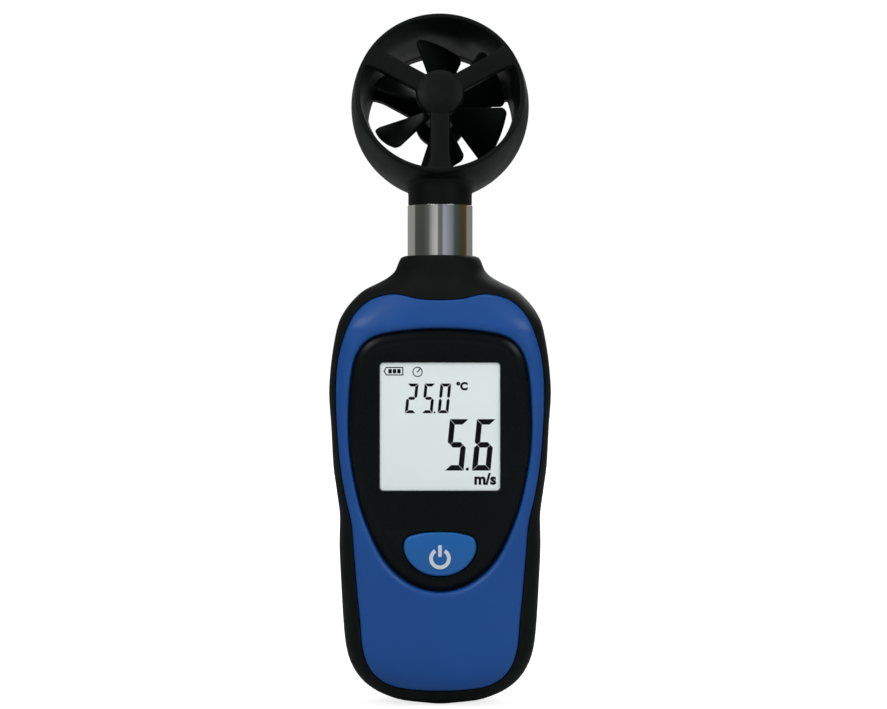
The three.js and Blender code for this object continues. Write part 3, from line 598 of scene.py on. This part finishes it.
def cover_outline(margin):
    """The battery cover's edge: a rounded panel that follows the shell's edge low down."""
    half_width = COVER["half_width"] + margin
    panel = rounded_rectangle(
        -half_width, half_width, COVER["bottom"] - margin, COVER["top"] + margin, COVER["corner"])
    limit = grown(shell_outline, -1 + margin)

    def reach(z):
        return max((abs(p.x) for p in limit if abs(p.y - z) < 0.7), default=0)

    def held(p):
        if p.y >= COVER_FOLLOWS_BELOW_Z:
            return p
        return Vector((math.copysign(min(abs(p.x), reach(p.y)), p.x), p.y))

    return [held(p) for p in dense(panel)]


def dense(outline, step=0.7):
    out = []
    for i, a in enumerate(outline):
        b = outline[(i + 1) % len(outline)]
        pieces = max(int((b - a).length / step), 1)
        out += [a.lerp(b, k / pieces) for k in range(pieces)]
    return out


def rear_shell():
    """The rear shell, with a lip that meets the grip, the battery opening and two screw holes."""
    obj = case_form().built()
    carve(obj, prism(shell_outline, REAR_WALL_Y, FAR).built(), "INTERSECT")
    lip = case_form(1).built()
    carve(lip, prism(grown(shell_outline, SEAM), -LIP_HALF_DEPTH, LIP_HALF_DEPTH).built(), "INTERSECT")
    carve(obj, lip, "UNION")
    carve(obj, prism(cover_outline(GAP), COVER_INNER_Y + 0.1, FAR).built())
    bore = [(SCREW_HOLE_RADIUS, SCREW_HOLE_FRONT_Y), (SCREW_HOLE_RADIUS, FAR)]
    for x in (-SCREW_X, SCREW_X):
        carve(obj, Form().turned(bore, 48, closed=False, x=x, z=SCREW_Z).built())
    obj.name = obj.data.name = "rear_shell"
    return finished(obj, BLACK, "case", ("rear_case",), 40)


def battery_door():
    """The battery cover, with a thumb recess and five finger grooves."""
    obj = case_form(0.02).built()
    carve(obj, prism(cover_outline(0), COVER_INNER_Y, FAR).built(), "INTERSECT")
    thumb = rounded_rectangle(-6, 6, 54.6, 57.6, 1.4)
    carve(obj, prism(thumb, FLAT_BACK_Y - 0.8, FAR).built())
    for k in range(5):
        groove = rounded_rectangle(-4.6 + 0.5 * k, 4.6 - 0.5 * k, 52.6 - 1.3 * k, 53.1 - 1.3 * k, 0.24, 4)
        carve(obj, prism(groove, FLAT_BACK_Y - 0.35, FAR).built())
    obj.name = obj.data.name = "battery_door"
    return finished(obj, BLACK, "battery_door", ("battery_cover",), 40)


def case_screws():
    """The two upper case screws: a pan head with a cross recess, over its shank."""
    head_thick, shank_radius, recess_depth, arm_half, arm_width = 1.2, 0.9, 0.7, 1.15, 0.28
    for node in ("case_screw_upper_1", "case_screw_upper_2"):
        low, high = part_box(node)
        x, z = (low.x + high.x) / 2 / MM, (low.z + high.z) / 2 / MM
        front, back = low.y / MM - NECK_Y, high.y / MM - NECK_Y
        radius, seat = (high.x - low.x) / 2 / MM, back - head_thick
        profile = filleted(
            [(AXIS, front), (shank_radius, front), (shank_radius, seat), (radius, seat), (radius, back),
             (AXIS, back)],
            (0, 0.2, 0.1, 0.1, 0.5, 0),
        )
        screw = Form().turned(profile, 64, x=x, z=z).built()
        for half_x, half_z in ((arm_half, arm_width), (arm_width, arm_half)):
            arm = rounded_rectangle(x - half_x, x + half_x, z - half_z, z + half_z, 0.12)
            carve(screw, prism(arm, back - recess_depth, back + 1).built())
        screw.name = screw.data.name = node + "_cross"
        finished(screw, STEEL, "case", (node,), 40)


blue_front()
grip()
rear_shell()
battery_door()
case_screws()


# ---------------------------------------------------------------- display frame, window and key
def flat_with_holes(outline, holes, y):
    """A flat face at depth y inside an outline and round the holes."""
    loops = [[Vector((p.x, p.y, 0)) for p in loop] for loop in (outline, *holes)]
    points = [(p.x, y, p.y) for loop in loops for p in loop]
    return points, [list(face) for face in tessellate_polygon(loops)]


def display_bezel():
    """Glossy frame: its rim rises from the blue shell to a soft ridge, then falls to a flat face."""
    back = -10.2
    steps = ((0.3, back), (0.3, -11.15), (0.42, -11.4), (0.7, -11.58), (1.2, -11.8), (1.7, -12.0),
             (2.1, -12.1), (2.45, -12.13), (2.8, -12.1), (3.2, -12.03), (3.5, FRAME_FLAT_Y))
    rings = [[(p.x, y, p.y) for p in grown(frame_outline, -inset)] for inset, y in steps]
    form = Form().rings(rings, caps=(False, False))
    half_width, bottom, top = WINDOW["half_width"], WINDOW["bottom"], WINDOW["top"]
    opening = rounded_rectangle(-half_width, half_width, bottom, top, WINDOW["corner"])
    key_hole = grown(button_outline, GAP)
    for hole in (opening, key_hole):
        lip = [[(p.x, y, p.y) for p in grown(hole, inset)]
               for inset, y in ((0.25, FRAME_FLAT_Y), (0.08, -11.93), (0, -11.75), (0, back))]
        form.rings(lip, caps=(False, False))
    edge = grown(frame_outline, -3.5)
    form.add(*flat_with_holes(edge, (grown(opening, 0.25), grown(key_hole, 0.25)), FRAME_FLAT_Y))
    form.add(*flat_with_holes(grown(frame_outline, -0.3), (grown(opening, 0), grown(key_hole, 0)), back))
    form.piece("display_bezel", GLOSS, nodes=("display_frame",), slot="gloss_black", angle=40)


def window_plate(margin, y0, y1, edge, steps):
    """A plate that fills the window opening but for a margin."""
    half_width, bottom, top = WINDOW["half_width"] - margin, WINDOW["bottom"] + margin, WINDOW["top"] - margin
    outline = rounded_rectangle(-half_width, half_width, bottom, top, WINDOW["corner"])
    return Form().slab(outline, y0, y1, edge, steps)


def display_cover():
    """The clear window."""
    form = window_plate(0.12, -11.75, -11.45, 0.12, 3)
    form.piece("display_window", CLEAR, nodes=("display_lens",), slot="clear_window")


def display_panel():
    """The pale panel behind the figures, which glows with painted light."""
    form = window_plate(0.1, -11.3, -9.95, 0.05, 2)
    form.piece("glowing_display_reflector", GLOWING_REFLECTOR, nodes=("lcd_panel",), slot="display_glass")


FIGURE_Y = -11.33
FIGURE_BACK_Y = -11.28
SLANT = math.tan(math.radians(5.7))
DIGIT_BARS = {"0": "abcdef", "2": "abged", "5": "afgcd", "6": "afgedc"}


def bars(form, digit, x, z, width, height, t, gap=0.07):
    """One seven-bar figure of bar width t, from its lower left corner, leaning to the right."""
    mid = height / 2
    shapes = {
        "a": ((gap, height), (width - gap, height), (width - t - gap, height - t), (t + gap, height - t)),
        "d": ((gap, 0), (width - gap, 0), (width - t - gap, t), (t + gap, t)),
        "g": ((gap + t / 2, mid), (t + gap, mid + t / 2), (width - t - gap, mid + t / 2),
              (width - gap - t / 2, mid), (width - t - gap, mid - t / 2), (t + gap, mid - t / 2)),
        "f": ((0, height - gap), (t, height - t - gap), (t, mid + t / 2 + gap), (t / 2, mid + gap),
              (0, mid + t / 2)),
        "e": ((0, gap), (t, t + gap), (t, mid - t / 2 - gap), (t / 2, mid - gap), (0, mid - t / 2)),
        "b": ((width, height - gap), (width - t, height - t - gap), (width - t, mid + t / 2 + gap),
              (width - t / 2, mid + gap), (width, mid + t / 2)),
        "c": ((width, gap), (width - t, t + gap), (width - t, mid - t / 2 - gap),
              (width - t / 2, mid - gap), (width, mid - t / 2)),
    }
    for bar in DIGIT_BARS[digit]:
        outline = [Vector((x + px + pz * SLANT, z + pz)) for px, pz in shapes[bar]]
        form.slab(outline, FIGURE_Y, FIGURE_BACK_Y)


def stroke(form, points, width, closed=False):
    """A flat line of the given width through 2-D points."""
    points = [Vector(p) for p in points]
    spans = list(zip(points, points[1:] + points[:1] if closed else points[1:]))
    for a, b in spans:
        side = (b - a).orthogonal().normalized() * (width / 2)
        reach = (b - a).normalized() * (width / 2)
        outline = [a - reach + side, b + reach + side, b + reach - side, a - reach - side]
        form.slab(outline, FIGURE_Y, FIGURE_BACK_Y)


def lettering(name, text, x, z, height):
    """A unit sign, as thin raised print, from its lower left corner."""
    data = bpy.data.curves.new(name, "FONT")
    data.body = text
    data.size = height * MM / 0.73
    data.extrude = 0.00002
    data.offset = 0.00014
    source = bpy.data.objects.new(name + "_source", data)
    bpy.context.scene.collection.objects.link(source)
    graph = bpy.context.evaluated_depsgraph_get()
    mesh = bpy.data.meshes.new_from_object(source.evaluated_get(graph))
    bpy.data.objects.remove(source)
    place = Matrix.Translation((x * MM, (FIGURE_Y + NECK_Y) * MM, z * MM))
    mesh.transform(place @ Matrix.Rotation(math.pi / 2, 4, "X"))
    obj = bpy.data.objects.new(name, mesh)
    bpy.context.scene.collection.objects.link(obj)
    return finished(obj, SEGMENT, "case", ())


def display_figures():
    """The reading and the temperature, their decimal points, and the cell and clock signs."""
    form = Form()
    for digit, x in (("2", -8.0), ("5", -4.15), ("0", -0.55)):
        bars(form, digit, x, 67.25, 2.45, 6.75, 0.68)
    form.slab(rounded_rectangle(-1.45, -1.05, 67.2, 67.6, 0.1, 2), FIGURE_Y, FIGURE_BACK_Y)
    for digit, x in (("5", 1.1), ("6", 7.25)):
        bars(form, digit, x, 54.2, 4.25, 11.7, 1.24, 0.05)
    form.slab(rounded_rectangle(5.9, 6.55, 54.2, 54.85, 0.1, 2), FIGURE_Y, FIGURE_BACK_Y)
    stroke(form, ((-12.2, 75.95), (-8.45, 75.95), (-8.45, 77.65), (-12.2, 77.65), (-12.7, 76.8)), 0.24, True)
    for k in range(3):
        x = -11.75 + 1.0 * k
        form.slab(rounded_rectangle(x, x + 0.8, 76.3, 77.3, 0.1, 2), FIGURE_Y, FIGURE_BACK_Y)
    dial = [(-5.1 + 1.05 * math.cos(a), 76.65 + 1.05 * math.sin(a))
            for a in (2 * math.pi * k / 28 for k in range(28))]
    stroke(form, dial, 0.22, True)
    stroke(form, ((-5.1, 76.65), (-4.55, 77.3)), 0.26)
    form.piece("display_figures", SEGMENT, slot="gloss_black")
    lettering("unit_temperature", "°C", 3.7, 72.6, 1.7)
    lettering("unit_speed", "m/s", 7.75, 51.1, 2.55)


def power_key():
    """The D-shaped key: a crowned cap with a soft edge, and its raised white sign."""
    sign_y, sign_depth = -13.19, 0.3
    form = Form().slab(button_outline, -12.75, -10.4, 0.55, 6, crown=0.4)
    form.piece("power_key_cap", BLUE_KEY, "power_key", ("power_button",), "blue_key", 60)
    sign = Form()
    centre, outer, inner, opening = Vector((0, 34.35)), 2.45, 1.6, math.radians(32)
    count = 48
    loop = []
    for radius, turn in ((outer, 1), (inner, -1)):
        for k in range(count + 1):
            u = k / count if turn > 0 else 1 - k / count
            angle = math.pi / 2 + opening + (2 * math.pi - 2 * opening) * u
            loop.append(centre + Vector((math.cos(angle), math.sin(angle))) * radius)
    half = count + 1
    ring = [[(loop[i].x, sign_y, loop[i].y), (loop[2 * half - 1 - i].x, sign_y, loop[2 * half - 1 - i].y)]
            for i in range(half)]
    points = [p for pair in ring for p in pair]
    points += [(x, y + sign_depth, z) for x, y, z in points]
    n = 2 * half
    faces = []
    for i in range(half - 1):
        a = 2 * i
        faces += [[a, a + 1, a + 3, a + 2], [n + a, n + a + 2, n + a + 3, n + a + 1],
                  [a, a + 2, n + a + 2, n + a], [a + 1, n + a + 1, n + a + 3, a + 3]]
    faces += [[0, n, n + 1, 1], [n - 2, n - 1, 2 * n - 1, 2 * n - 2]]
    sign.add(points, faces)
    bar = rounded_rectangle(-0.42, 0.42, 34.7, 37.35, 0.2, 4)
    sign.slab(bar, sign_y, -12.9, 0.04, 2)
    sign.piece("power_sign", LEGEND, "power_key", slot="white_plastic")


display_bezel()
display_cover()
display_panel()
display_figures()
power_key()

# ---------------------------------------------------------------- neck
def neck_tube():
    """The polished tube, with the flange that the case shells hold."""
    bore_radius, flange_radius, flange_bottom, flange_top = 6.5, 9.5, 86, 88
    profile = filleted(
        [(bore_radius, flange_bottom), (flange_radius, flange_bottom), (flange_radius, flange_top),
         (SLEEVE_RADIUS, flange_top), (SLEEVE_RADIUS, SLEEVE_TOP_Z), (bore_radius, SLEEVE_TOP_Z)],
        (0.2, 0.2, 0.2, 0.2, 0.04, 0.2),
    )
    form = Form().turned(profile, 192, up=True)
    form.piece("neck_tube", CHROME, nodes=("neck_sleeve",), slot="polished_metal")


neck_tube()

# ---------------------------------------------------------------- vane ring
# The ring's [height, radius] along its outer wall, front to back, and the rest of its section.
OUTER_WALL = (
    (-RING_HALF_DEPTH, 19.5), (-7.5, 20.25), (-3.5, 20.75), (0.0, RING_RADIUS), (4.0, 20.6), (7.8, 19.7),
    (RING_HALF_DEPTH, 18.7),
)
INNER_WALL = ((18.15, RING_HALF_DEPTH), (18.15, 7.9), (17.2, 7.9), (17.2, -3.5), (17.5, -6.0), (18.0, -8.5),
              (18.5, -RING_HALF_DEPTH))
RING_PROFILE = tuple((radius, height) for height, radius in OUTER_WALL) + INNER_WALL
RING_FILLETS = (0.4, 2, 2.4, 2.4, 2.4, 2, 0.25, 0.12, 0.2, 0.3, 1.4, 1.2, 1, 0.3)


def ring_underside(x, y):
    """Height of the ring's outer surface straight above a place below it."""
    low, high = 112.0, 136.0
    inverse = HEAD.inverted()
    for _ in range(40):
        z = (low + high) / 2
        p = inverse @ Vector((x, y, z))
        if math.hypot(p.x, p.z) > along(OUTER_WALL, p.y):
            low = z
        else:
            high = z
    return high


def stem(form):
    """The stem, with a fillet where it spreads into the underside of the ring."""
    rings = []
    segments = 128
    for k in range(22):
        ring = []
        for i in range(segments):
            angle = 2 * math.pi * i / segments
            c, s = math.cos(angle), math.sin(angle)
            spread = 1.9 * c * c + 0.25 * s * s
            far = STEM_RADIUS + spread
            y_far = max(min(far * s, 8.6), -7.75)
            end = Vector((far * c, y_far, ring_underside(far * c, y_far) + 0.25))
            wall_y = max(min(STEM_RADIUS * s, 8.6), -7.75)
            corner = Vector((STEM_RADIUS * c, STEM_RADIUS * s, ring_underside(STEM_RADIUS * c, wall_y)))
            start = Vector((corner.x, corner.y, max(corner.z - 0.4 - spread, SLEEVE_TOP_Z + 1.2)))
            if k < 4:
                height = SLEEVE_TOP_Z + (0.05, 0.15, 0.45, 1.0)[k]
                radius = STEM_RADIUS - (0.3, 0.08, 0, 0)[k]
                ring.append((radius * c, radius * s, height))
            else:
                t = (k - 4) / 17
                p = start * (1 - t) ** 2 + corner * 2 * t * (1 - t) + end * t**2
                ring.append(tuple(p))
        rings.append(ring)
    form.rings(rings, caps=(True, True))


def guard_arm(form, degrees, front, back, outer, flare):
    """A guard arm with round edges that widens into the ring."""
    turn = Matrix.Rotation(-math.radians(degrees), 4, "Y")
    rings = []
    for k in range(25):
        t = k / 24
        reach = ARM_INNER_RADIUS + (outer - ARM_INNER_RADIUS) * t
        spread = flare * max(0, (t - 0.72) / 0.28) ** 2.2
        half = ARM_WIDTH / 2 + spread
        section = rounded_rectangle(-half, half, front, back, 0.45, 4)
        rings.append([(reach, p.y, p.x) for p in section])
    form.rings(rings, HEAD @ turn)


def head():
    """The ring, its front guard with the nose, the stem and the spigot inside the neck tube."""
    form = Form().turned(filleted(RING_PROFILE, RING_FILLETS), 224, HEAD)
    stem(form)
    for degrees in GUARD_ARMS:
        guard_arm(form, degrees, -10.95, -8.9, 18.85, 1.1)
    nose = filleted([(AXIS, -8.8), (AXIS, -11.7), (3.4, -11.5), (5.6, -10.9), (5.6, -8.8)],
                    (0, 0, 1.6, 0.6, 0.2), 8)
    form.turned(nose, 96, HEAD)
    spigot = filleted([(2.6, 89), (6.2, 89), (6.2, 117), (2.6, 117)], (0.2, 0.6, 0, 0))
    form.turned(spigot, 96, up=True)
    form.piece("vane_ring", BLACK, nodes=("head_shell",), slot="black_shell", angle=40)


def rear_spider():
    """The rear guard: a hoop inside the ring, three arms and a hub."""
    form = Form().turned(
        filleted([(17.2, 8.2), (17.85, 8.2), (17.85, 10.95), (17.2, 10.95)], (0.15, 0.15, 0.25, 0.25)), 192,
        HEAD,
    )
    for degrees in GUARD_ARMS:
        guard_arm(form, degrees, 8.75, 10.95, 17.6, 1.0)
    hub = filleted(
        [(AXIS, 10.6), (AXIS, 11.3), (4.8, 11.1), (5.95, 10.8), (5.95, 8.7), (1.9, 8.7), (1.9, 10.6)],
        (0, 0, 1.2, 0.5, 0.3, 0, 0), 6,
    )
    form.turned(hub, 96, HEAD)
    form.piece("rear_spider", BLACK, nodes=("rear_guard",), slot="black_shell", angle=40)


BLADE_COUNT = 6
BLADE_PHASE = 1
BLADE_PITCH = math.radians(50)
BLADE_HALF_TIP, BLADE_HALF_ROOT, BLADE_ROOT_RADIUS = 8.3, 1.3, 2.6
TIP_RADIUS = 15.8


def vane_wheel():
    """Hub and six flat pitched blades with rounded corners and edges."""
    form = Form()
    hub = filleted([(0.7, -5.3), (2.6, -5.3), (4.0, -3.9), (4.0, 4.3), (0.7, 4.3)],
                   (0.2, 0.9, 0.8, 0.3, 0.1), 6)
    form.turned(hub, 96, HEAD)

    def tip(c):
        return math.sqrt(TIP_RADIUS**2 - (c * math.cos(BLADE_PITCH)) ** 2)

    half_tip, corner = BLADE_HALF_TIP, 1.0
    arc = [-half_tip + corner + (2 * half_tip - 2 * corner) * k / 10 for k in range(11)]
    plan = [(-BLADE_HALF_ROOT, BLADE_ROOT_RADIUS), (-half_tip + 0.35, tip(half_tip) - corner)]
    plan += [(c, tip(c)) for c in arc]
    plan += [(half_tip - 0.35, tip(half_tip) - corner), (BLADE_HALF_ROOT, BLADE_ROOT_RADIUS)]
    radii = [0, 1.2, 1.0] + [0] * 9 + [1.0, 1.2, 0]
    outline = filleted(plan, radii, 4)
    for k in range(BLADE_COUNT):
        turn = math.radians(BLADE_PHASE + 360 / BLADE_COUNT * k)
        place = (HEAD @ Matrix.Rotation(-turn, 4, "Y") @ Matrix.Translation((0, -0.5, 0))
                 @ Matrix.Rotation(BLADE_PITCH, 4, "Z"))
        loops = []
        for inset, y in ((0.2, 0.4), (0.06, 0.34), (0, 0.2), (0, -0.2), (0.06, -0.34), (0.2, -0.4)):
            loops.append([(p.x, y, p.y) for p in grown(outline, -inset)])
        form.rings(loops, place)
    form.piece("vane_wheel", BLACK, "impeller_rotor", ("impeller",), "black_shell", 35)


head()
rear_spider()
vane_wheel()

# ---------------------------------------------------------------- floor, world and lights
def shader_maths(tree, operation, *values):
    node = tree.nodes.new("ShaderNodeMath")
    node.operation = operation
    for socket, value in zip(node.inputs, values):
        if isinstance(value, (int, float)):
            socket.default_value = value
        else:
            tree.links.new(value, socket)
    return node.outputs["Value"]


def pale_floor():
    """A white floor that stays white to its horizon and takes a soft shadow under the instrument."""
    mesh = bpy.data.meshes.new("floor")
    mesh.from_pydata([(-40, -40, 0), (40, -40, 0), (40, 40, 0), (-40, 40, 0)], [], [[0, 1, 2, 3]])
    obj = bpy.data.objects.new("floor", mesh)
    bpy.context.scene.collection.objects.link(obj)
    material = bpy.data.materials.new("floor")
    material.use_nodes = True
    tree = material.node_tree
    shader = tree.nodes["Principled BSDF"]
    shader.inputs["Base Color"].default_value = (0.62, 0.62, 0.62, 1)
    shader.inputs["Roughness"].default_value = 0.9
    shader.inputs["Specular IOR Level"].default_value = 0.1
    place = tree.nodes.new("ShaderNodeTexCoord").outputs["Object"]
    length = tree.nodes.new("ShaderNodeVectorMath")
    length.operation = "LENGTH"
    tree.links.new(place, length.inputs[0])
    reach = tree.nodes.new("ShaderNodeMapRange")
    reach.interpolation_type = "SMOOTHSTEP"
    reach.inputs["From Min"].default_value, reach.inputs["From Max"].default_value = 0.03, 0.45
    reach.inputs["To Min"].default_value, reach.inputs["To Max"].default_value = 0.8, 1.05
    tree.links.new(length.outputs["Value"], reach.inputs["Value"])
    seen = tree.nodes.new("ShaderNodeLightPath").outputs["Is Camera Ray"]
    shader.inputs["Emission Color"].default_value = (1, 1, 1, 1)
    glow = shader_maths(tree, "MULTIPLY", reach.outputs["Result"], seen)
    tree.links.new(glow, shader.inputs["Emission Strength"])
    mesh.materials.append(material)


# Brightness of the studio low down, by compass angle from the front, left to right.
STUDIO_BANDS = (
    (-180, (0.31, 0.31, 0.3)), (-104, (0.29, 0.29, 0.265)), (-98, (0.07, 0.076, 0.063)),
    (-62, (0.05, 0.058, 0.045)), (-42, (0.1, 0.105, 0.1)), (-27, (0.42, 0.42, 0.42)),
    (-11, (0.56, 0.56, 0.56)), (-6, (0.16, 0.16, 0.16)), (5, (0.125, 0.13, 0.135)), (14, (0.38, 0.41, 0.45)),
    (24, (0.31, 0.33, 0.39)), (44, (0.18, 0.2, 0.21)), (54, (0.06, 0.072, 0.078)),
    (75, (0.045, 0.052, 0.035)), (86, (0.06, 0.045, 0.017)), (104, (0.08, 0.056, 0.025)),
    (114, (0.25, 0.235, 0.2)), (180, (0.22, 0.23, 0.24)),
)


def studio_world():
    """White to the camera; elsewhere bands low down, as of cards round a table, and a soft sky above."""
    world = bpy.data.worlds.new("world")
    bpy.context.scene.world = world
    world.use_nodes = True
    tree = world.node_tree
    tree.nodes.clear()
    axes = tree.nodes.new("ShaderNodeSeparateXYZ")
    tree.links.new(tree.nodes.new("ShaderNodeTexCoord").outputs["Generated"], axes.inputs[0])
    x, y, z = axes.outputs
    compass = shader_maths(tree, "ARCTAN2", x, shader_maths(tree, "MULTIPLY", y, -1))
    ramp = tree.nodes.new("ShaderNodeValToRGB")
    tree.links.new(shader_maths(tree, "MULTIPLY_ADD", compass, 0.5 / math.pi, 0.5), ramp.inputs["Fac"])
    stops = ramp.color_ramp.elements
    while len(stops) < len(STUDIO_BANDS):
        stops.new(0.5)
    for stop, (angle, colour) in zip(stops, STUDIO_BANDS):
        stop.position = angle / 360 + 0.5
        stop.color = (*colour, 1)
    lift = tree.nodes.new("ShaderNodeMapRange")
    lift.inputs["From Min"].default_value, lift.inputs["From Max"].default_value = 0.12, 0.5
    tree.links.new(z, lift.inputs["Value"])
    sky = tree.nodes.new("ShaderNodeMix")
    sky.data_type = "RGBA"
    sky.inputs[7].default_value = (0.17, 0.175, 0.18, 1)
    tree.links.new(lift.outputs["Result"], sky.inputs[0])
    tree.links.new(ramp.outputs["Color"], sky.inputs[6])
    seen = tree.nodes.new("ShaderNodeBackground")
    lit = tree.nodes.new("ShaderNodeBackground")
    seen.inputs["Color"].default_value = (1, 1, 1, 1)
    tree.links.new(sky.outputs[2], lit.inputs["Color"])
    choose = tree.nodes.new("ShaderNodeMixShader")
    tree.links.new(tree.nodes.new("ShaderNodeLightPath").outputs["Is Camera Ray"], choose.inputs["Fac"])
    tree.links.new(lit.outputs["Background"], choose.inputs[1])
    tree.links.new(seen.outputs["Background"], choose.inputs[2])
    output = tree.nodes.new("ShaderNodeOutputWorld")
    tree.links.new(choose.outputs["Shader"], output.inputs["Surface"])


def softbox(name, place, aim, size, power):
    data = bpy.data.lights.new(name, "AREA")
    data.shape = "RECTANGLE"
    data.size, data.size_y = size
    data.energy = power
    lamp = bpy.data.objects.new(name, data)
    lamp.location = place
    lamp.rotation_euler = (Vector(aim) - Vector(place)).to_track_quat("-Z", "Y").to_euler()
    bpy.context.scene.collection.objects.link(lamp)


pale_floor()
studio_world()
CASE_MIDDLE = (0, 0, 0.08)
softbox("key_left", (-0.55, -0.75, 0.75), CASE_MIDDLE, (0.4, 0.4), 3.5)
softbox("key_right", (0.6, -0.65, 0.6), CASE_MIDDLE, (0.4, 0.4), 2.5)
softbox("top", (0.0, -0.1, 0.95), CASE_MIDDLE, (0.6, 0.4), 1.5)
softbox("back", (0.25, 0.85, 0.6), CASE_MIDDLE, (0.6, 0.5), 3)

bpy.context.scene.view_settings.view_transform = "Standard"
bpy.context.scene.view_settings.look = "None"
